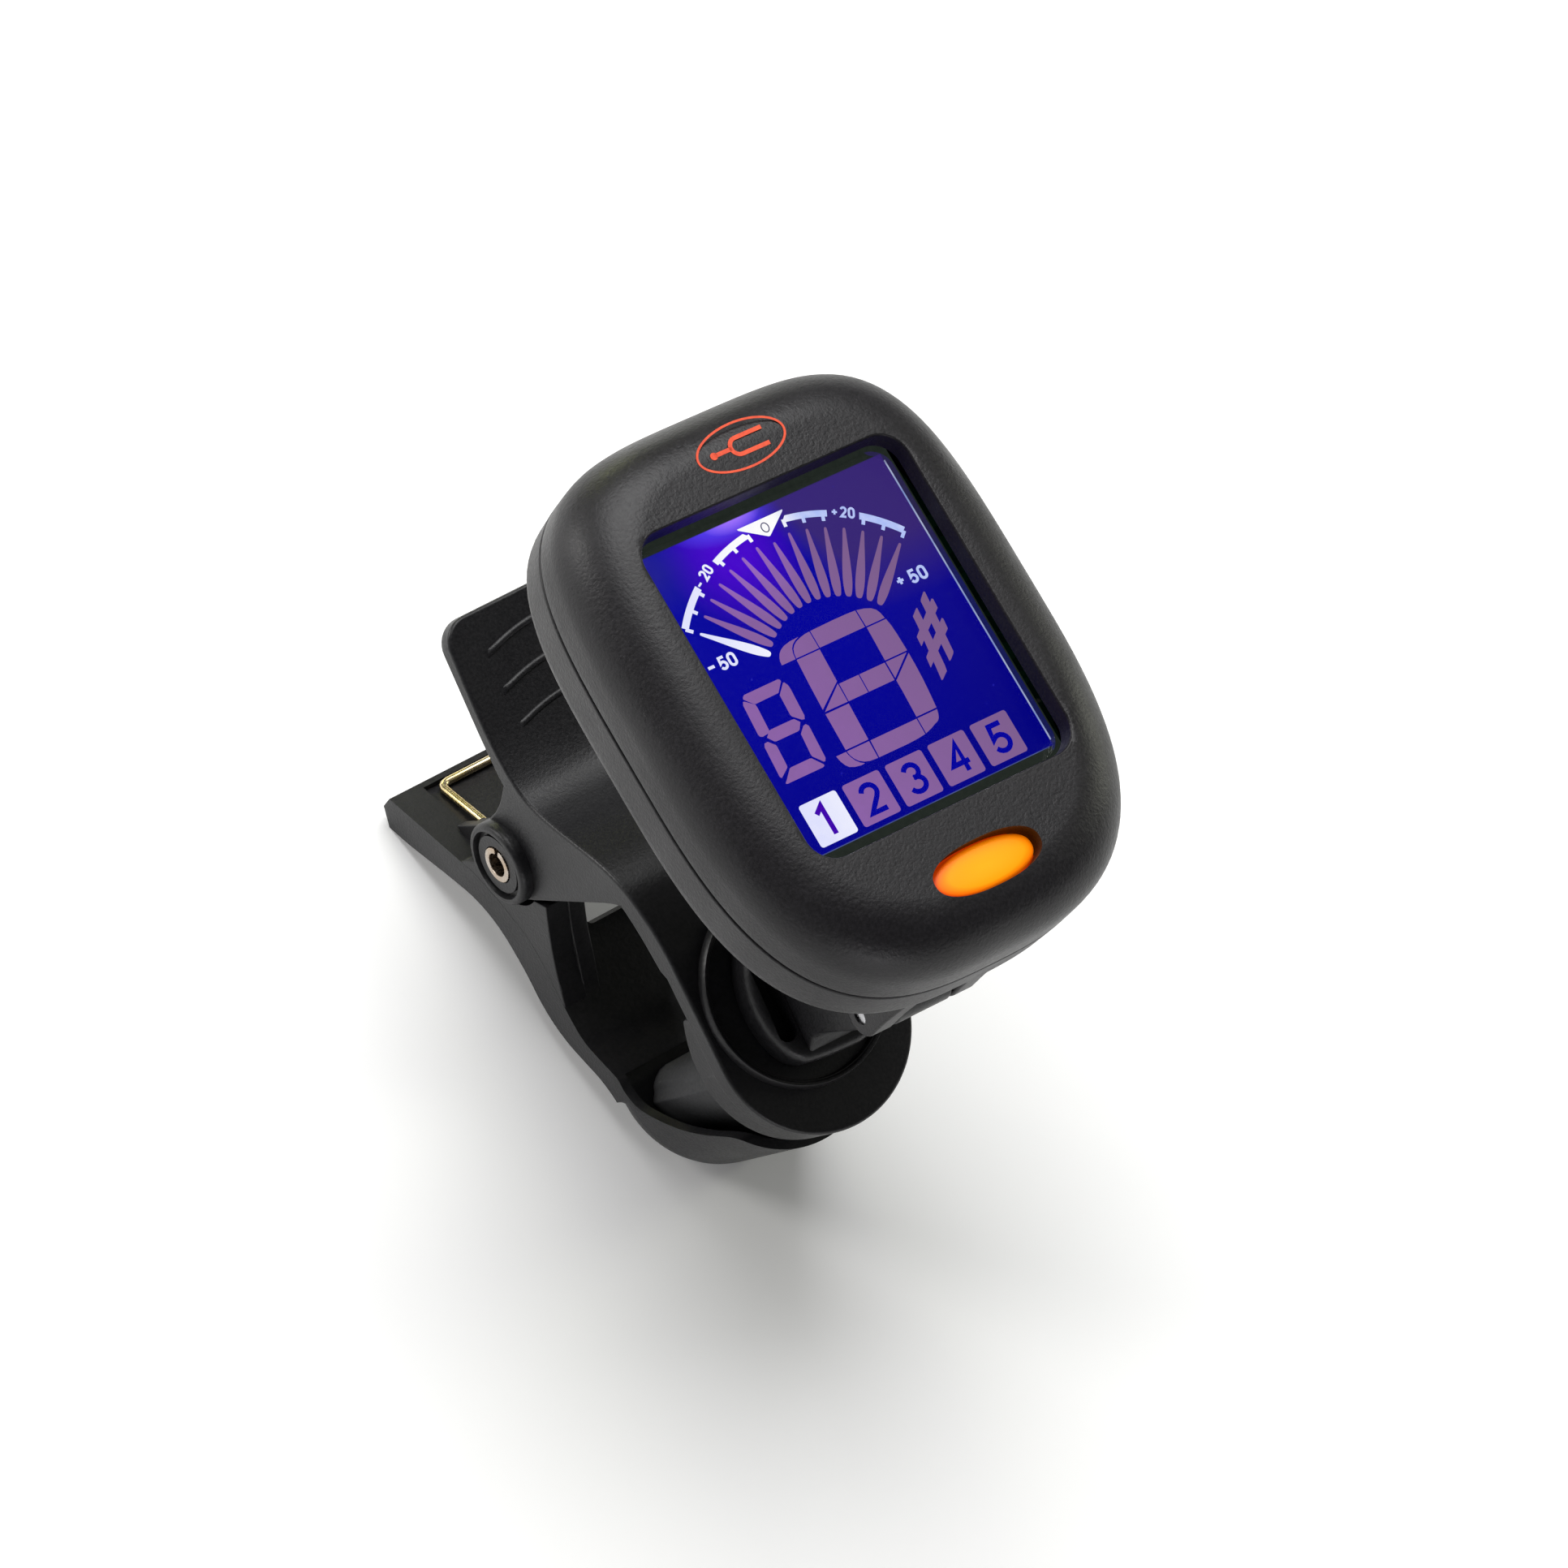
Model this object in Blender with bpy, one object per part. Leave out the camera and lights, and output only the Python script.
"""Clip-on tuner: a sprung clip, a swivelling neck and a tilting display head.

Lengths are millimetres; objects are built in metres, +Z up.
  clip frame : origin where the swivel axis meets the jaw disc, +X across the clip
               (along its hinge pin), +Y towards the handles, +Z along the swivel axis
  neck frame : the clip frame turned by SWIVEL_DEG about the swivel axis
  head frame : origin at the lower middle of the display, u across, v up the face,
               w out of the face
  row frame  : the clip frame tipped by REST_TIP so the tuner stands on its jaw tip
               and the end of its lower handle, origin at the bottom centre of the box
"""
import math

import bmesh
import bpy
from mathutils import Matrix, Vector

MM = 0.001

# ---------------------------------------------------------------- driving dimensions
# clip; axes along X are (y, z), axes along Z are (x, y)
CLIP_HALF_W = 9.8
PIN_AXIS = (19.3, -20.8)             # clip hinge pin
PIN_R = 1.7
PIN_BORE_R = 1.15
PIN_HALF_L = 10.9
BOSS_R = 3.95
UPPER_JAW_CY, UPPER_JAW_R = -4.1, 9.6    # centre and radius of the round jaw ends
LOWER_JAW_CY, LOWER_JAW_R = -4.3, 10.0
DISC_TOP = -0.8                      # top of the upper jaw
TIP_Y, TIP_BOTTOM = -13.7, -21.7     # front edge and height of the lower jaw's underside
HANDLE_FOOT = (25.6, -39.5)          # lower handle's foot edge
UPPER_PAD_BOTTOM, LOWER_PAD_TOP = -5.7, -6.0

# neck
SWIVEL_AXIS = (0.0, 0.0)
SWIVEL_DEG, TILT_DEG = -2.4, -14.0
SWIVEL_HOLE_R, HUB_R = 3.3, 3.22
TILT_AXIS = (-3.6, 18.0)             # (y, z) in the neck frame
TILT_PIN_R, TILT_PIN_HALF_L = 0.72, 5.3

# head
HEAD_HALF_W, HEAD_HALF_H, HEAD_CV = 19.6, 25.75, 9.9
FRONT_W, SEAM_W, BACK_W = 3.48, -4.7, -10.34
FRONT_FILLET, BACK_FILLET = 5.4, 1.9
SEAM_GAP = 0.15                      # each cover's setback from the seam
WALL = 1.5
WINDOW_U, WINDOW_V0, WINDOW_V1 = 13.4, -3.9, 26.8    # opening
BUTTON_V, BUTTON_HALF_U, BUTTON_HALF_V = -9.37, 5.37, 2.11   # button opening
SCREW_US, SCREW_VS = (-13.7, 13.7), (-7.2, 29.5)
SCREW_POST_R = 2.3
HEAD_HINGE = (-12.8, -18.5)          # tilt axis (v, w)
CELL_V = 12.5                        # coin cell centre
DOOR_HALF_W, DOOR_V0, TRACK_V1 = 11.2, 0.6, 40.0
TRACK_DEPTH = 1.3

REST_TIP = math.atan2(TIP_BOTTOM - HANDLE_FOOT[1], HANDLE_FOOT[0] - TIP_Y)
ROW_SHIFT = (-1.0057, -12.9328, 25.4194)

CLIP = Matrix.Identity(4)
ROW = Matrix.Translation(Vector(ROW_SHIFT) * MM) @ Matrix.Rotation(REST_TIP, 4, 'X')
NECK = Matrix.Rotation(math.radians(SWIVEL_DEG), 4, 'Z')
HEAD = (NECK @ Matrix.Translation(Vector((0.0, *TILT_AXIS)) * MM)
        @ Matrix.Rotation(math.radians(TILT_DEG), 4, 'X')
        @ Matrix.Translation(Vector((0.0, -HEAD_HINGE[0], -HEAD_HINGE[1])) * MM))

PIN_ORIGIN = (0.0, *PIN_AXIS)
HEAD_ORIGIN = (0.0, *HEAD_HINGE)

# ---------------------------------------------------------------- materials
BLACK = (0.035, 0.034, 0.038)
STEEL = (0.6, 0.6, 0.62)
CONTACT_METAL = (0.7, 0.68, 0.62)

# part: (material name, base colour, roughness, metallic)
FINISHES = {
    "lower_arm": ("lower_arm_plastic", BLACK, 0.42, 0.0),
    "lower_pad": ("lower_pad_rubber", (0.42, 0.42, 0.44), 0.7, 0.0),
    "pivot_pin": ("pivot_pin_steel", (0.55, 0.55, 0.57), 0.35, 1.0),
    "torsion_spring": ("spring_wire", (0.6, 0.6, 0.6), 0.3, 1.0),
    "upper_arm": ("upper_arm_plastic", BLACK, 0.42, 0.0),
    "upper_pad": ("upper_pad_rubber", (0.05, 0.05, 0.055), 0.75, 0.0),
    "piezo_disc": ("piezo_brass", (0.62, 0.47, 0.2), 0.35, 1.0),
    "swivel_base": ("swivel_base_plastic", BLACK, 0.42, 0.0),
    "swivel_washer": ("washer_steel", STEEL, 0.3, 1.0),
    "swivel_screw": ("swivel_screw_steel", STEEL, 0.3, 1.0),
    "tilt_pin": ("tilt_pin_steel", STEEL, 0.3, 1.0),
    "front_cover": ("front_cover_plastic", BLACK, 0.4, 0.0),
    "rear_cover": ("rear_cover_plastic", BLACK, 0.42, 0.0),
    "battery_door": ("battery_door_plastic", BLACK, 0.42, 0.0),
    "display_window": ("display_window_finish", (0.75, 0.78, 0.85), 0.05, 0.0),
    "lcd_panel": ("lcd_panel_finish", (0.03, 0.02, 0.45), 0.2, 0.0),
    "backlight_plate": ("backlight_plate_finish", (0.85, 0.86, 0.92), 0.3, 0.0),
    "lcd_connector": ("lcd_connector_finish", (0.75, 0.35, 0.45), 0.6, 0.0),
    "circuit_board": ("circuit_board_finish", (0.02, 0.16, 0.07), 0.4, 0.0),
    "switch_body": ("switch_body_finish", (0.12, 0.12, 0.13), 0.4, 0.0),
    "switch_plunger": ("switch_plunger_finish", (0.75, 0.7, 0.5), 0.3, 0.0),
    "controller_chip": ("controller_chip_finish", (0.02, 0.02, 0.022), 0.45, 0.0),
    "coin_cell": ("coin_cell_finish", (0.66, 0.66, 0.68), 0.25, 1.0),
    "battery_contact_minus": ("battery_contact_minus_finish", CONTACT_METAL, 0.3, 1.0),
    "battery_contact_plus": ("battery_contact_plus_finish", CONTACT_METAL, 0.3, 1.0),
    "power_button": ("power_button_finish", (0.95, 0.30, 0.02), 0.4, 0.0),
}
for letter in "ab":
    led = f"backlight_led_{letter}"
    FINISHES[led] = (f"{led}_finish", (0.9, 0.9, 0.75), 0.3, 0.0)
for letter in "abcd":
    case_screw = f"case_screw_{letter}"
    FINISHES[case_screw] = (f"{case_screw}_finish", (0.25, 0.25, 0.26), 0.35, 1.0)


def part_material(part):
    name, colour, roughness, metallic = FINISHES[part]
    mat = bpy.data.materials.new(name)
    mat.use_nodes = True
    shader = mat.node_tree.nodes["Principled BSDF"]
    shader.inputs["Base Color"].default_value = (*colour, 1.0)
    shader.inputs["Roughness"].default_value = roughness
    shader.inputs["Metallic"].default_value = metallic
    return mat


# ---------------------------------------------------------------- outlines
def circle(centre, radius, n=32):
    return [(centre[0] + radius * math.cos(2 * math.pi * i / n),
             centre[1] + radius * math.sin(2 * math.pi * i / n)) for i in range(n)]


def arc(centre, radius, degrees):
    return [(centre[0] + radius * math.cos(math.radians(d)),
             centre[1] + radius * math.sin(math.radians(d))) for d in degrees]


def jaw_round(cy, radius, n, half_w):
    """Round end of a jaw towards -Y, from -X to +X."""
    angles = [math.pi + math.pi * i / n for i in range(n + 1)]
    return [(half_w * math.cos(t), cy + radius * math.sin(t)) for t in angles]


def jaw_plan(cy, radius, y_back, n, half_w):
    """Jaw outline: the round end and parallel sides running back to y_back."""
    return jaw_round(cy, radius, n, half_w) + [(half_w, y_back), (-half_w, y_back)]


def upper_jaw_plan(y_back):
    return jaw_plan(UPPER_JAW_CY, UPPER_JAW_R, y_back, 28, CLIP_HALF_W)


def rounded_rect(x0, x1, y0, y1, radius, n=5):
    corners = ((x1 - radius, y0 + radius, -90), (x1 - radius, y1 - radius, 0),
               (x0 + radius, y1 - radius, 90), (x0 + radius, y0 + radius, 180))
    points = []
    for x, y, start in corners:
        points += arc((x, y), radius, [start + 90.0 * i / n for i in range(n + 1)])
    return points


def signed_power(value, exponent):
    return math.copysign(abs(value) ** exponent, value)


def head_outline(inset, n=64):
    """Head outline: squarer towards the top, rounder towards the bottom."""
    points = []
    for i in range(n):
        t = 2 * math.pi * i / n
        c, s = math.cos(t), math.sin(t)
        exponent = 2.0 / (4.0 if s > 0 else 2.9)
        points.append(((HEAD_HALF_W - inset) * signed_power(c, exponent),
                       HEAD_CV + (HEAD_HALF_H - inset) * signed_power(s, exponent)))
    return points


def button_outline(growth, n=28):
    """Oval of the button opening, grown all round."""
    angles = [2 * math.pi * i / n for i in range(n)]
    return [((BUTTON_HALF_U + growth) * signed_power(math.cos(t), 0.85),
             BUTTON_V + (BUTTON_HALF_V + growth) * signed_power(math.sin(t), 0.85))
            for t in angles]


def window_outline(inset, radius):
    return rounded_rect(-WINDOW_U + inset, WINDOW_U - inset,
                        WINDOW_V0 + inset, WINDOW_V1 - inset, radius)


# ---------------------------------------------------------------- solids
def loft(rings):
    """Closed body through rings of equal point count."""
    bm = bmesh.new()
    rows = [[bm.verts.new(Vector(p) * MM) for p in ring] for ring in rings]
    n = len(rows[0])
    for a, b in zip(rows, rows[1:]):
        for i in range(n):
            bm.faces.new((a[i], a[(i + 1) % n], b[(i + 1) % n], b[i]))
    bm.faces.new(rows[0])
    bm.faces.new(rows[-1])
    bmesh.ops.remove_doubles(bm, verts=bm.verts, dist=1e-7)
    bmesh.ops.recalc_face_normals(bm, faces=bm.faces)
    mesh = bpy.data.meshes.new("solid")
    bm.to_mesh(mesh)
    bm.free()
    ob = bpy.data.objects.new("solid", mesh)
    bpy.context.scene.collection.objects.link(ob)
    return ob


def prism_x(profile, x0, x1):
    return loft([[(x, y, z) for y, z in profile] for x in (x0, x1)])


def prism_z(profile, z0, z1):
    return loft([[(x, y, z) for x, y in profile] for z in (z0, z1)])


def box(xs, ys, zs):
    (x0, x1), (y0, y1) = xs, ys
    return prism_z([(x0, y0), (x1, y0), (x1, y1), (x0, y1)], *zs)


def cyl_x(axis, radius, x0, x1, n=32):
    return prism_x(circle(axis, radius, n), x0, x1)


def cyl_z(axis, radius, z0, z1, n=32):
    return prism_z(circle(axis, radius, n), z0, z1)


def turned_x(axis, stations):
    """Body of revolution about an X-parallel axis from (x, radius) stations."""
    return loft([[(x, y, z) for y, z in circle(axis, radius)] for x, radius in stations])


def turned_z(axis, stations, n=32):
    """Body of revolution about a Z-parallel axis from (z, radius) stations."""
    return loft([[(x, y, z) for x, y in circle(axis, radius, n)] for z, radius in stations])


def scaled_stack(outline, cy, levels):
    """Body through one outline scaled about (0, cy) at (z, scale) levels."""
    return loft([[(x * k, cy + (y - cy) * k, z) for x, y in outline] for z, k in levels])


def cross_recess(axis, reach, half_w, z0, z1):
    """Two crossed slots, as cutters for a screw head."""
    x, y = axis
    return [box((x - a, x + a), (y - b, y + b), (z0, z1))
            for a, b in ((reach, half_w), (half_w, reach))]


def tube(path, radius, sides):
    """Round wire swept along a polyline with parallel-transported sections."""
    points = [Vector(p) for p in path]
    last = len(points) - 1
    tangents = [(points[min(i + 1, last)] - points[max(i - 1, 0)]).normalized()
                for i in range(last + 1)]
    normal = tangents[0].orthogonal().normalized()
    rings = []
    for i, (point, tangent) in enumerate(zip(points, tangents)):
        if i:
            normal = tangents[i - 1].rotation_difference(tangent) @ normal
            normal = (normal - tangent * normal.dot(tangent)).normalized()
        side = tangent.cross(normal)
        angles = [2 * math.pi * k / sides for k in range(sides)]
        rings.append([tuple(point + (normal * math.cos(t) + side * math.sin(t)) * radius)
                      for t in angles])
    return loft(rings)


def boolean(ob, other, operation):
    mod = ob.modifiers.new(operation.lower(), 'BOOLEAN')
    mod.operation = operation
    mod.solver = 'EXACT'
    mod.object = other
    bpy.context.view_layer.update()
    depsgraph = bpy.context.evaluated_depsgraph_get()
    mesh = bpy.data.meshes.new_from_object(ob.evaluated_get(depsgraph))
    ob.modifiers.clear()
    ob.data = mesh
    bpy.data.objects.remove(other, do_unlink=True)


def cut(ob, *others):
    for other in others:
        boolean(ob, other, 'DIFFERENCE')
    return ob


def join(ob, *others):
    for other in others:
        boolean(ob, other, 'UNION')
    return ob


def keep(ob, other):
    boolean(ob, other, 'INTERSECT')
    return ob


def finish(ob, name, frame=CLIP, origin=(0.0, 0.0, 0.0), smooth=False):
    """Name the part, set its origin (in its own frame) and stand it in the row frame."""
    offset = Vector(origin) * MM
    bm = bmesh.new()
    bm.from_mesh(ob.data)
    bmesh.ops.remove_doubles(bm, verts=bm.verts, dist=2e-6)
    bmesh.ops.dissolve_degenerate(bm, edges=bm.edges, dist=2e-6)
    bmesh.ops.recalc_face_normals(bm, faces=bm.faces)
    for v in bm.verts:
        v.co -= offset
    mesh = bpy.data.meshes.new(name)
    bm.to_mesh(mesh)
    bm.free()
    ob.data = mesh
    ob.name = name
    mesh.materials.append(part_material(name))
    for face in mesh.polygons:
        face.material_index = 0
        face.use_smooth = smooth
    if smooth:
        mesh.set_sharp_from_angle(angle=math.radians(35))
    ob.matrix_world = ROW @ frame @ Matrix.Translation(offset)


def finish_head(ob, name, smooth=False, origin=HEAD_ORIGIN):
    finish(ob, name, HEAD, origin, smooth)


# ---------------------------------------------------------------- lower jaw and handle
# side outline (y, z): handle end, underside to the jaw tip, then back along the top
LOWER_PROFILE = [
    (28.0, -36.9), (27.5, -38.6), HANDLE_FOOT, (23.8, -37.8), (19.1, -32.2), (17.2, -30.1),
    (15.2, -28.6), (13.0, -27.9), (9.1, -27.2), (6.4, -27.2), (4.1, -26.8), (2.0, -25.9),
    (-0.1, -24.5), (-1.8, -23.3), (-3.6, -22.5), (-6.1, -21.9), (-8.0, TIP_BOTTOM),
    (-15.0, TIP_BOTTOM), (-15.0, -8.1), (-10.9, -8.1), (-10.3, -8.6), (-9.9, -9.6),
    (-9.4, -11.5), (-8.3, -14.2), (-6.8, -16.7), (-5.5, -18.3), (-4.6, -19.1), (-3.2, -19.4),
    (-2.0, -19.2), (-1.4, -19.6), (0.2, -21.6), (1.9, -22.8), (5.3, -23.3), (11.2, -23.6),
    (15.5, -25.6), (19.2, -27.9)]
# (z, plan scale): the lower jaw is drawn in towards its underside
LOWER_PLAN = [(-23.5, 0.93), (TIP_BOTTOM, 0.94), (-21.1, 0.98), (-20.3, 1.0), (0.0, 1.0)]
# hinge ear and outer side plate (y, z), each closed by an arc about the pin
EAR_PROFILE = [(14.6, -17.4), (11.2, -19.9), (7.6, -21.9), (5.3, -23.3), (5.3, -24.6),
               (14.0, -26.6), (19.4, -29.6), (23.4, -31.8)]
EAR_R = 3.7
SIDE_PROFILE = [(14.2, -17.9), (11.9, -19.6), (9.0, -21.4), (5.4, -23.1), (5.4, -24.6),
                (14.0, -26.9), (19.4, -29.9), (20.8, -30.8), (20.4, -28.4)]
SIDE_R = 4.45
# pocket for the spring's loop in the handle's inner face (y, z)
SPRING_POCKET = [(27.75, -36.2), (27.16, -36.82), (17.6, -27.05), (16.6, -26.6),
                 (16.6, -24.0), (19.2, -24.0)]


def lower_plan_solid():
    """Plan of the lower arm as a solid: tapered jaw bowl and straight-sided tail."""
    plan = jaw_plan(LOWER_JAW_CY, LOWER_JAW_R, 40.0, 36, CLIP_HALF_W)
    rings = []
    for z, scale in LOWER_PLAN:
        rings.append([(x * (scale if y <= LOWER_JAW_CY else 1.0),
                       LOWER_JAW_CY + (y - LOWER_JAW_CY) * (scale if y < LOWER_JAW_CY else 1.0),
                       z) for x, y in plan])
    bowl = loft(rings)
    tail_y = LOWER_JAW_CY + 0.7
    tail = prism_z([(-CLIP_HALF_W, 40.0), (-CLIP_HALF_W, tail_y),
                    (CLIP_HALF_W, tail_y), (CLIP_HALF_W, 40.0)], -45.0, -1.0)
    return join(tail, bowl)


def build_lower_arm():
    arm = prism_x(LOWER_PROFILE, -CLIP_HALF_W - 0.2, CLIP_HALF_W + 0.2)
    keep(arm, lower_plan_solid())
    ear = EAR_PROFILE + arc(PIN_AXIS, EAR_R, range(-40, 160, 20))
    side = SIDE_PROFILE + arc(PIN_AXIS, SIDE_R, range(275, 164, -10))
    for sx in (-1, 1):
        join(arm, prism_x(ear, sx * 5.7, sx * 7.5))
        join(arm, prism_x(side, sx * 7.3, sx * (CLIP_HALF_W - 0.01)))
    pad_cup = prism_z(jaw_plan(LOWER_JAW_CY, 9.1, -2.2, 36, 8.9), -20.6, -5.0)
    slot = box((-4.0, 4.0), (10.6, 13.4), (-30.0, -20.0))
    cut(arm, cyl_x(PIN_AXIS, PIN_R + 0.05, -12.0, 12.0), pad_cup, slot,
        prism_x(SPRING_POCKET, -6.5, 6.5))
    finish(arm, "lower_arm")


def build_lower_pad():
    """Soft block in the lower jaw's cup, chamfered at the top."""
    outline = arc((0.0, LOWER_JAW_CY), 7.6, [190 + 160 * i / 28 for i in range(29)])
    outline += [(6.9, -4.6), (6.2, -3.8), (5.2, -3.2), (-5.2, -3.2), (-6.2, -3.8), (-6.9, -4.6)]
    levels = ((-20.4, 1.0), (-6.7, 1.0), (LOWER_PAD_TOP, 0.93))
    finish(scaled_stack(outline, LOWER_JAW_CY, levels), "lower_pad")


def build_pivot_pin():
    """Rolled spring pin with its slit."""
    slit, half_slit = 42, 9
    degrees = [slit + half_slit + (360 - 2 * half_slit) * i / 24 for i in range(25)]
    section = arc(PIN_AXIS, PIN_R, degrees) + arc(PIN_AXIS, PIN_BORE_R, degrees)[::-1]
    finish(prism_x(section, -PIN_HALF_L, PIN_HALF_L), "pivot_pin", smooth=True)


# ---------------------------------------------------------------- torsion spring
WIRE_R = 0.4
COIL_R = 2.5
COIL_TURNS, COIL_STEPS, COIL_START_DEG = 3.292, 40, 205
COIL_LENGTH = 3.0
LOOP_HALF_W = 5.1
LOOP_LEG = [(26.6, -35.5), (24.3, -32.9), (21.6, -29.9), (19.0, -26.5)]    # (y, z)
FREE_LEG = [(1.75, 22.3, -17.75), (1.7, 26.6, -16.2), (1.7, 31.6, -15.95)]
CROSSBAR = [(-4.85, 26.9, -35.8), (-4.3, 27.05, -35.98),
            (4.3, 27.05, -35.98), (4.85, 26.9, -35.8)]


def spring_side(sx):
    """One half of the double spring, from the loop's crossbar to the free leg."""
    points = [(sx * LOOP_HALF_W, y, z) for y, z in LOOP_LEG]
    start = math.radians(COIL_START_DEG)
    for i in range(COIL_STEPS + 1):
        t = start - 2 * math.pi * COIL_TURNS * i / COIL_STEPS
        x = LOOP_HALF_W - 0.2 - COIL_LENGTH * i / COIL_STEPS
        points.append((sx * x, PIN_AXIS[0] + COIL_R * math.cos(t),
                       PIN_AXIS[1] + COIL_R * math.sin(t)))
    return points + [(sx * x, y, z) for x, y, z in FREE_LEG]


def build_torsion_spring():
    path = spring_side(-1)[::-1] + CROSSBAR + spring_side(1)
    finish(tube(path, WIRE_R, sides=6), "torsion_spring", smooth=True)


# ---------------------------------------------------------------- upper jaw and handle
# side outline (y, z): top from jaw to handle end, then the underside back
UPPER_TOP = [(-14.0, DISC_TOP), (7.6, DISC_TOP), (9.0, -1.3), (10.9, -1.9), (13.2, -2.6),
             (14.9, -3.7), (16.6, -5.2), (19.2, -8.1), (21.0, -10.1), (22.6, -11.6),
             (24.3, -12.6), (26.8, -13.2), (32.3, -13.3), (40.4, -12.2)]
UPPER_UNDER = [(40.4, -14.1), (38.7, -14.3), (28.6, -15.1), (25.0, -15.0), (22.4, -14.0),
               (20.0, -12.0), (17.4, -9.0), (15.2, -6.6), (13.4, -5.3), (10.9, -4.4),
               (8.6, -3.9), (5.8, -3.5), (5.0, -3.0), (-14.0, -3.0)]
HANDLE_CORNER_Y, HANDLE_CORNER_R = 38.2, 2.2
# cutter that raises the rim's underside towards the handles (y, z)
RIM_RELIEF = [(-4.2, -6.4), (-4.2, -5.45), (-2.4, -5.2), (0.0, -4.2), (1.3, -3.3),
              (4.0, -3.3), (4.0, -6.4)]
# hinge side plate (y, z), on either side of its arc about the pin
PLATE_FRONT = [(12.4, -4.6), (13.0, -8.0), (14.0, -14.0), (15.0, -19.0)]
PLATE_BACK = [(23.5, -19.0), (24.3, -17.0), (25.4, -14.6), (22.4, -12.6), (17.4, -7.2),
              (14.0, -4.2)]
GROOVE_OUTER_R, GROOVE_INNER_R = 3.25, 2.75
PEG_AXIS = (4.75, -6.75)
RIB_YS = (37.6, 34.1, 30.7)
RIB_HALF_L, RIB_HALF_W, RIB_SAG = 6.6, 0.32, 1.2
HANDLE_RISE_Y, HANDLE_RISE = 32.3, 0.136     # where the handle's top starts to rise, and slope


def jaw_rim():
    """Deep rim round the front of the upper jaw."""
    rim = prism_z(upper_jaw_plan(1.2), -5.4, -2.0)
    return cut(rim, prism_z(jaw_plan(UPPER_JAW_CY, 8.7, 4.0, 24, 8.7), -6.0, -1.0),
               prism_x(RIM_RELIEF, -12.0, 12.0))


def add_hinge_side(arm, sx):
    """Side plate carrying the hinge, with a grooved round boss."""
    plate = PLATE_FRONT + arc(PIN_AXIS, BOSS_R, range(180, 366, 15)) + PLATE_BACK
    join(arm, prism_x(plate, sx * 7.8, sx * CLIP_HALF_W))
    boss = [(sx * 9.0, BOSS_R), (sx * 10.6, BOSS_R), (sx * 11.0, BOSS_R - 0.35)]
    join(arm, turned_x(PIN_AXIS, boss))
    groove = cyl_x(PIN_AXIS, GROOVE_OUTER_R, sx * 10.4, sx * 12.0)
    cut(groove, cyl_x(PIN_AXIS, GROOVE_INNER_R, sx * 10.0, sx * 13.0))
    cut(arm, groove)


def swivel_track():
    """Raised ring on the jaw's top, trimmed to the jaw outline."""
    track = turned_z(SWIVEL_AXIS, [(DISC_TOP - 0.3, 9.35), (-0.25, 9.3), (0.0, 9.05)], 48)
    cut(track, cyl_z(SWIVEL_AXIS, 8.45, -3.0, 2.0, 48))
    return keep(track, prism_z(upper_jaw_plan(12.0), -5.0, 5.0))


def grip_rib(rib_y):
    """Curved rib across the handle's top."""
    middle = []
    for i in range(9):
        x = -RIB_HALF_L + 2 * RIB_HALF_L * i / 8
        middle.append((x, rib_y - RIB_SAG * (x / RIB_HALF_L) ** 2))
    outer = [(x, y + RIB_HALF_W) for x, y in middle]
    inner = [(x, y - RIB_HALF_W) for x, y in middle]
    top = -13.3 + max(rib_y - HANDLE_RISE_Y, 0.0) * HANDLE_RISE
    return prism_z(outer + inner[::-1], top - 0.7, top + 0.18)


def build_upper_arm():
    arm = prism_x(UPPER_TOP + UPPER_UNDER, -CLIP_HALF_W, CLIP_HALF_W)
    corner = [(CLIP_HALF_W, HANDLE_CORNER_Y)]
    corner += arc((CLIP_HALF_W - HANDLE_CORNER_R, HANDLE_CORNER_Y), HANDLE_CORNER_R,
                  (30, 60, 90))
    plan = jaw_round(UPPER_JAW_CY, UPPER_JAW_R, 28, CLIP_HALF_W)
    plan += corner + [(-x, y) for x, y in reversed(corner)]
    keep(arm, prism_z(plan, -30.0, 5.0))
    join(arm, jaw_rim())
    for sx in (-1, 1):
        add_hinge_side(arm, sx)
    cut(arm, cyl_x(PIN_AXIS, PIN_R + 0.08, -12.0, 12.0),
        cyl_z(SWIVEL_AXIS, SWIVEL_HOLE_R, -8.0, 2.0))
    join(arm, swivel_track())
    # small end stop inside the track
    join(arm, turned_z(PEG_AXIS, [(DISC_TOP - 0.3, 0.55), (-0.1, 0.55), (0.05, 0.4)], 12))
    for rib_y in RIB_YS:
        join(arm, grip_rib(rib_y))
    finish(arm, "upper_arm", origin=PIN_ORIGIN)


def build_upper_pad():
    plan = jaw_plan(UPPER_JAW_CY, 8.4, -0.6, 24, 8.4)
    finish(prism_z(plan, UPPER_PAD_BOTTOM, -4.6), "upper_pad", origin=PIN_ORIGIN)


def build_piezo_disc():
    disc = cyl_z((0.0, -8.7), 2.4, -4.1, -3.6, 24)
    finish(disc, "piezo_disc", origin=PIN_ORIGIN, smooth=True)


# ---------------------------------------------------------------- swivel
# plan of the swivel's foot (x, y)
FOOT_PLAN = [(-3.1, -6.75), (-1.2, -7.0), (2.6, -7.1), (3.8, -6.7), (4.7, -5.6), (5.1, -3.6),
             (5.15, 0.0), (5.1, 3.2), (4.5, 5.1), (3.0, 6.2), (0.6, 6.5), (-2.2, 6.2),
             (-4.0, 5.0), (-5.1, 3.2), (-5.75, 1.2), (-5.95, -0.8), (-5.75, -2.6),
             (-5.3, -4.2), (-4.5, -5.7)]
# (z, plan scale); the foot starts just above the jaw's top
FOOT_LEVELS = [(-0.5, 1.0), (1.5, 1.0), (2.1, 0.965), (2.4, 0.9)]
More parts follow.
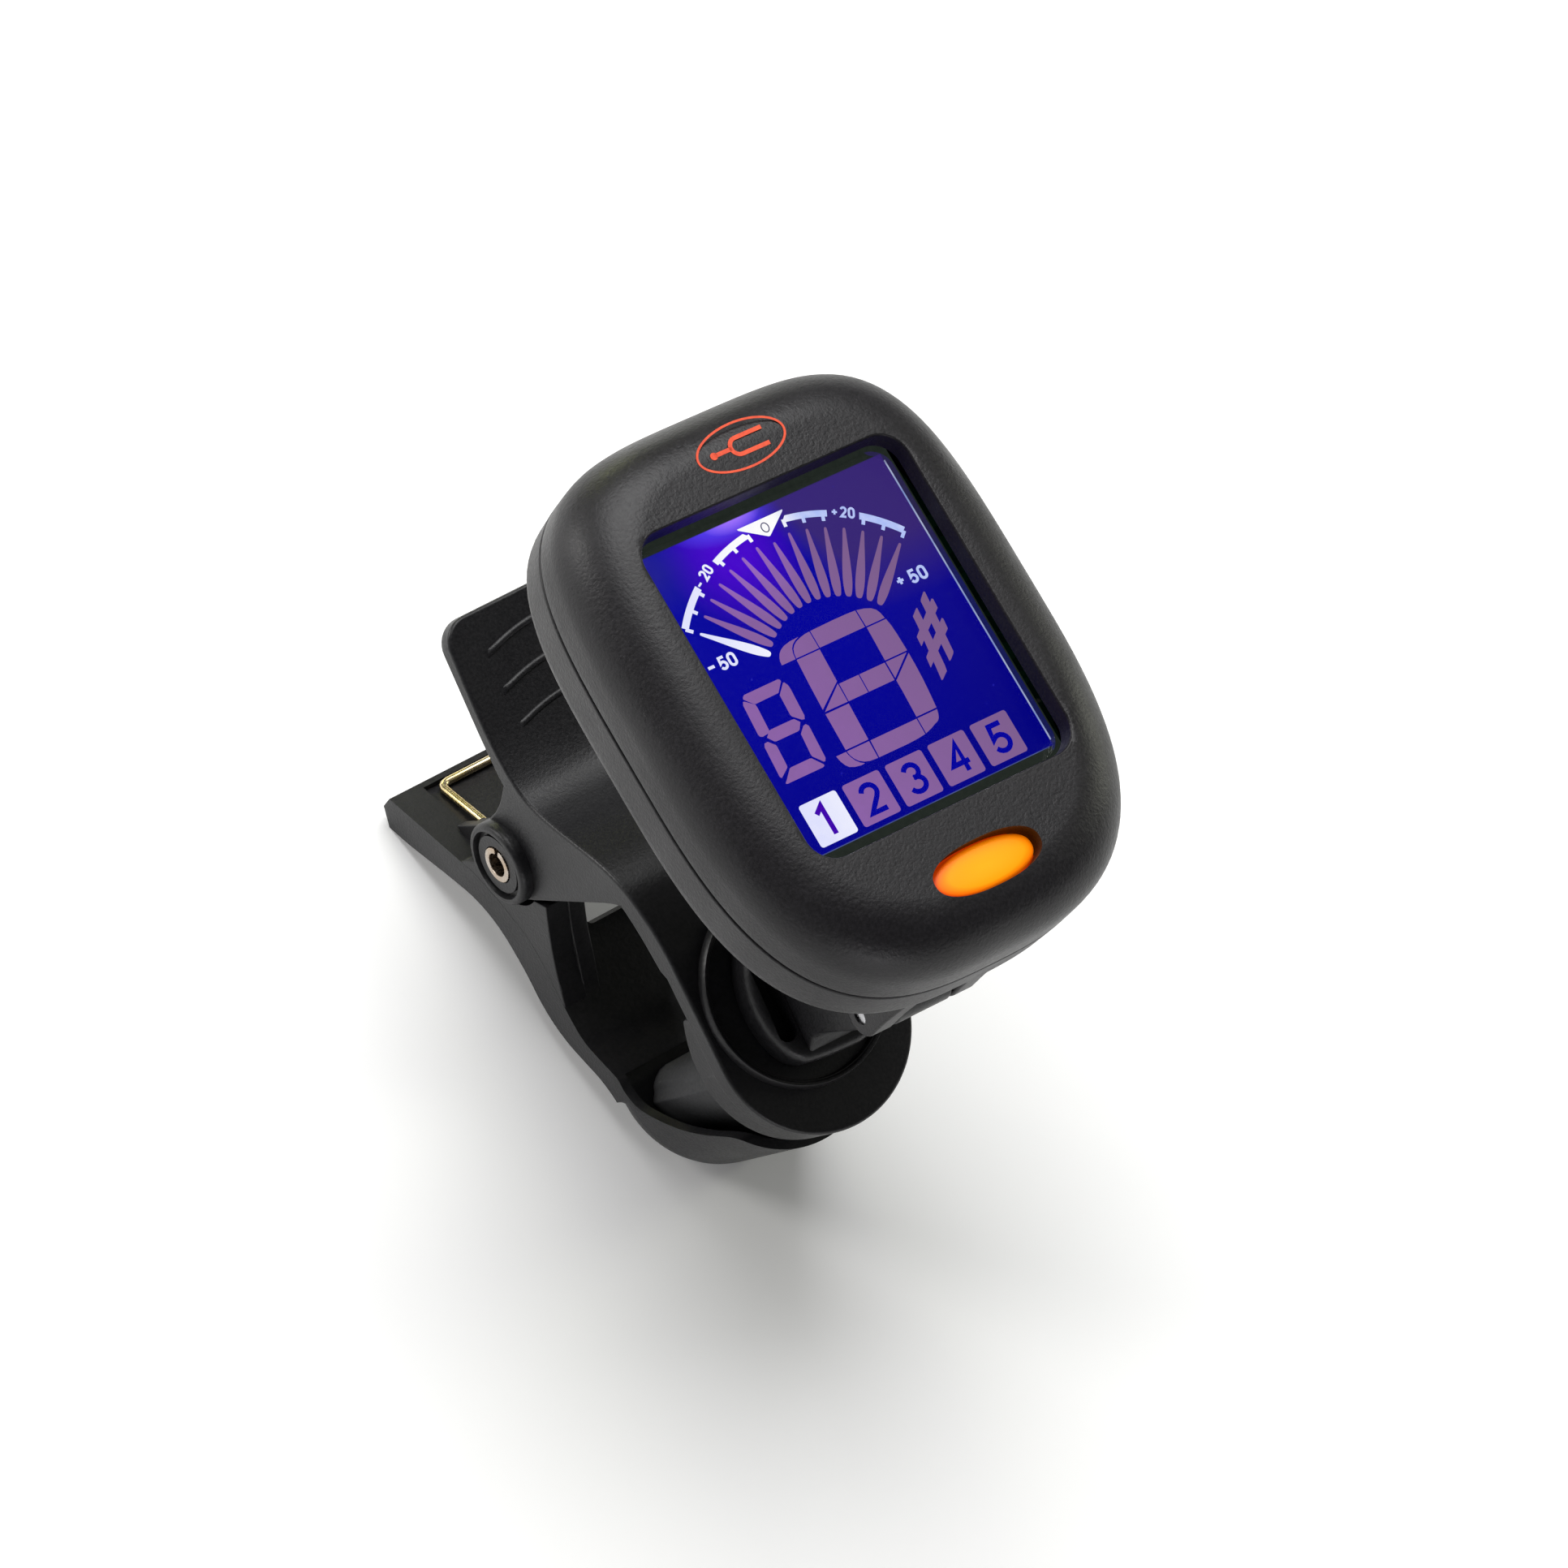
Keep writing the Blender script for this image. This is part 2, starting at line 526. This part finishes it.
# post side outline (y, z), on either side of its round top
POST_BACK = [(-6.5, 0.5), (-0.4, 0.5), (-0.6, 3.0), (-1.3, 7.0), (-1.65, 14.0)]
POST_FRONT = [(-5.4, 14.0), (-4.8, 7.0), (-4.5, 4.2), (-6.5, 1.7)]
POST_HALF_W = 2.9
BRACE_PROFILE = [(-6.45, 0.4), (-6.45, 1.72), (-4.6, 4.1), (-1.2, 4.1), (0.6, 0.4)]
KNUCKLE_R = 1.9                      # round ends of the post and the head's lugs


def build_swivel_base():
    base = scaled_stack(FOOT_PLAN, 0.0, FOOT_LEVELS)
    join(base, cyl_z(SWIVEL_AXIS, HUB_R, -2.7, 0.0))
    post = POST_BACK + arc(TILT_AXIS, KNUCKLE_R, range(0, 181, 20)) + POST_FRONT
    join(base, prism_x(post, -POST_HALF_W, POST_HALF_W))
    # ramped brace on the post's +X side
    join(base, prism_x(BRACE_PROFILE, 2.5, 3.7))
    pocket = prism_z(rounded_rect(-5.0, -3.1, -4.4, 3.2, 0.9), 0.3, 8.0)
    cut(base, cyl_x(TILT_AXIS, 0.8, -6.0, 6.0, 20),
        cyl_z(SWIVEL_AXIS, 1.15, -6.0, 1.9, 20), pocket)
    finish(base, "swivel_base", NECK)


def build_swivel_washer():
    washer = cyl_z(SWIVEL_AXIS, 4.3, -3.48, -3.15)
    cut(washer, cyl_z(SWIVEL_AXIS, 1.35, -6.0, 0.0, 20))
    finish(washer, "swivel_washer", NECK, smooth=True)


def build_swivel_screw():
    screw = turned_z(SWIVEL_AXIS, [(-4.48, 1.9), (-4.35, 2.15), (-3.6, 2.15)], 24)
    join(screw, cyl_z(SWIVEL_AXIS, 1.05, -3.9, 1.6, 20))
    cut(screw, *cross_recess(SWIVEL_AXIS, reach=1.2, half_w=0.22, z0=-5.0, z1=-4.1))
    finish(screw, "swivel_screw", NECK)


def build_tilt_pin():
    pin = cyl_x(TILT_AXIS, TILT_PIN_R, -TILT_PIN_HALF_L, TILT_PIN_HALF_L, 20)
    finish(pin, "tilt_pin", NECK, smooth=True)


# ---------------------------------------------------------------- head shells
# cavities as (w, inset from the head outline)
FRONT_CAVITY = [(-6.0, WALL), (-1.6, WALL), (-0.4, 1.8), (0.9, 3.0), (1.9, 5.2)]
REAR_CAVITY = [(-2.0, WALL), (-7.6, 1.6), (-8.7, 2.6)]
# window cutter as (w, inset from the opening)
WINDOW_LEVELS = [(-3.0, 0.25), (1.2, 0.25), (4.5, 0.0)]


def shell(levels):
    """Body through the head outline at (w, inset) levels."""
    return loft([[(u, v, w) for u, v in head_outline(inset)] for w, inset in levels])


def fillet_levels(face_w, facing, radius, inset, degrees):
    """(w, inset) levels rounding a cover's edge; facing is +1 for front, -1 for back."""
    angles = [math.radians(d) for d in degrees]
    return [(face_w - facing * radius * (1 - math.sin(t)), inset + radius * (1 - math.cos(t)))
            for t in angles]


def build_front_cover():
    edge_w = SEAM_W + SEAM_GAP
    levels = [(edge_w, 0.18), (edge_w + 0.25, 0.0), (FRONT_W - FRONT_FILLET, 0.0)]
    levels += fillet_levels(FRONT_W, 1, FRONT_FILLET, 0.0, (22.5, 45.0, 67.5, 90.0))
    cover = shell(levels)
    cut(cover, shell(FRONT_CAVITY))
    cut(cover, loft([[(u, v, w) for u, v in window_outline(inset, 2.4 - inset)]
                     for w, inset in WINDOW_LEVELS]))
    cut(cover, prism_z(button_outline(0.0), -3.0, 6.0))
    for v in SCREW_VS:
        for u in SCREW_US:
            join(cover, cyl_z((u, v), SCREW_POST_R, -4.3, -0.3, 16))
            cut(cover, cyl_z((u, v), 0.9, -5.0, -1.1, 16))
    finish_head(cover, "front_cover", smooth=True)


def lug_profile():
    """Hinge lug side outline (v, w)."""
    v, w = HEAD_HINGE
    return ([(v - 2.2, BACK_W + 0.8), (v + 5.2, BACK_W + 0.8), (v + 3.4, BACK_W - 1.2),
             (v + 2.1, w + 1.6)]
            + arc(HEAD_HINGE, KNUCKLE_R, range(0, -181, -20)) + [(v - KNUCKLE_R, w + 3.0)])


def dovetail(v1, w0, w1, clearance):
    """Battery door or its track: wider inside than at the back face."""
    def half_width(w):
        depth_share = min(max((w - BACK_W) / TRACK_DEPTH, 0.0), 1.0)
        return DOOR_HALF_W - clearance + 0.7 * depth_share

    ws = [w0, w1] if w0 >= BACK_W else [w0, BACK_W, w1]
    section = [(-half_width(w), w) for w in ws] + [(half_width(w), w) for w in reversed(ws)]
    return loft([[(u, v, w) for u, w in section] for v in (DOOR_V0 + clearance, v1)])


def build_rear_cover():
    edge_w = SEAM_W - SEAM_GAP
    levels = [(edge_w, 0.18), (edge_w - 0.25, 0.0), (-8.8, 0.15)]
    levels += fillet_levels(BACK_W, -1, BACK_FILLET, 0.15, (30.0, 60.0, 90.0))
    cover = shell(levels)
    cut(cover, shell(REAR_CAVITY))
    for sx in (-1, 1):
        join(cover, prism_x(lug_profile(), sx * 3.1, sx * 5.5))
    cut(cover, cyl_x(HEAD_HINGE, 0.78, -8.0, 8.0, 20))
    # door track running out of the top edge, and the round battery opening
    cut(cover, dovetail(TRACK_V1, BACK_W - 1.0, BACK_W + TRACK_DEPTH, clearance=0.0),
        cyl_z((0.0, CELL_V), 10.35, -12.0, -4.0, 40))
    for u in SCREW_US:
        for v in SCREW_VS:
            join(cover, cyl_z((u, v), SCREW_POST_R, -9.0, -5.0, 16))
            cut(cover, cyl_z((u, v), 1.75, -12.0, -8.6, 16),
                cyl_z((u, v), 0.95, -12.0, -3.0, 16))
    finish_head(cover, "rear_cover", smooth=True)


def build_battery_door():
    """Sliding door with three raised ribs."""
    door = dovetail(33.2, BACK_W, BACK_W + 1.05, clearance=0.2)
    for i in range(3):
        rib_vs = (26.6 + 1.6 * i, 27.3 + 1.6 * i)
        join(door, box((-4.0, 4.0), rib_vs, (BACK_W - 0.35, BACK_W + 0.4)))
    finish_head(door, "battery_door", origin=(0, CELL_V, BACK_W))


# ---------------------------------------------------------------- head internals
# plain blocks: (name, u range, v range, w range)
HEAD_BLOCKS = [
    ("lcd_panel", (-13.9, 13.9), (-4.3, 27.1), (-1.7, 0.0)),
    ("backlight_plate", (-13.4, 13.4), (-1.0, 27.0), (-3.3, -1.9)),
    ("lcd_connector", (-12.4, 12.4), (-3.6, -1.6), (-3.95, -1.9)),
    ("switch_body", (-3.0, 3.0), (BUTTON_V - 1.9, BUTTON_V + 1.9), (-4.0, -1.9)),
    ("controller_chip", (-4.2, 4.2), (10.5, 17.3), (-5.9, -5.4)),
    ("backlight_led_a", (-9.2, -6.8), (28.0, 29.2), (-4.0, -3.0)),
    ("backlight_led_b", (6.8, 9.2), (28.0, 29.2), (-4.0, -3.0)),
]
# coin cell (w, radius)
CELL_STATIONS = [(-9.15, 9.4), (-8.95, 9.8), (-6.7, 9.8), (-6.6, 8.9), (-6.35, 8.9)]


def build_display_window():
    finish_head(prism_z(window_outline(0.45, 2.0), 0.3, 1.1), "display_window")


def build_circuit_board():
    board = prism_z(head_outline(2.4, 48), -5.2, -4.2)
    for u in SCREW_US:
        for v in SCREW_VS:
            cut(board, cyl_z((u, v), 2.7, -8.0, -2.0, 16))
    finish_head(board, "circuit_board")


def build_battery_parts():
    cell = turned_z((0, CELL_V), CELL_STATIONS, 40)
    finish_head(cell, "coin_cell", smooth=True)
    minus = box((-1.6, 1.6), (-1.8, 9.4), (-6.15, -5.95))
    finish_head(minus, "battery_contact_minus")
    plus = box((-2.2, 2.2), (22.5, 22.75), (-8.5, -5.4))
    join(plus, box((-2.2, 2.2), (22.5, 26.0), (-5.6, -5.35)))
    finish_head(plus, "battery_contact_plus")


def build_case_screws():
    places = [(u, v) for v in SCREW_VS for u in SCREW_US]
    for letter, place in zip("abcd", places):
        screw = turned_z(place, [(-9.75, 1.3), (-9.6, 1.5), (-8.75, 1.5)], 16)
        join(screw, cyl_z(place, 0.8, -8.9, -1.4, 12))
        cut(screw, *cross_recess(place, reach=0.9, half_w=0.18, z0=-11.0, z1=-9.4))
        finish_head(screw, f"case_screw_{letter}")


def build_power_button():
    """Domed oval cap with a stem and a flange behind the cover."""
    levels = ((0.1, 1.0), (1.9, 1.0), (2.3, 0.95), (2.5, 0.8))
    button = scaled_stack(button_outline(-0.25), BUTTON_V, levels)
    join(button, cyl_z((0, BUTTON_V), 1.3, -0.4, 0.6, 20),
         prism_z(button_outline(0.5), -0.1, 0.4))
    finish_head(button, "power_button", smooth=True, origin=(0, BUTTON_V, 2.5))


def build_head_internals():
    build_display_window()
    for name, us, vs, ws in HEAD_BLOCKS:
        finish_head(box(us, vs, ws), name)
    build_circuit_board()
    plunger = cyl_z((0, BUTTON_V), 1.2, -1.7, -1.0, 20)
    finish_head(plunger, "switch_plunger", smooth=True)
    build_battery_parts()
    build_case_screws()
    build_power_button()


# ---------------------------------------------------------------- build
for old in list(bpy.data.objects):
    bpy.data.objects.remove(old, do_unlink=True)

build_lower_arm()
build_lower_pad()
build_pivot_pin()
build_torsion_spring()
build_upper_arm()
build_upper_pad()
build_piezo_disc()
build_swivel_base()
build_swivel_washer()
build_swivel_screw()
build_tilt_pin()
build_front_cover()
build_rear_cover()
build_battery_door()
build_head_internals()
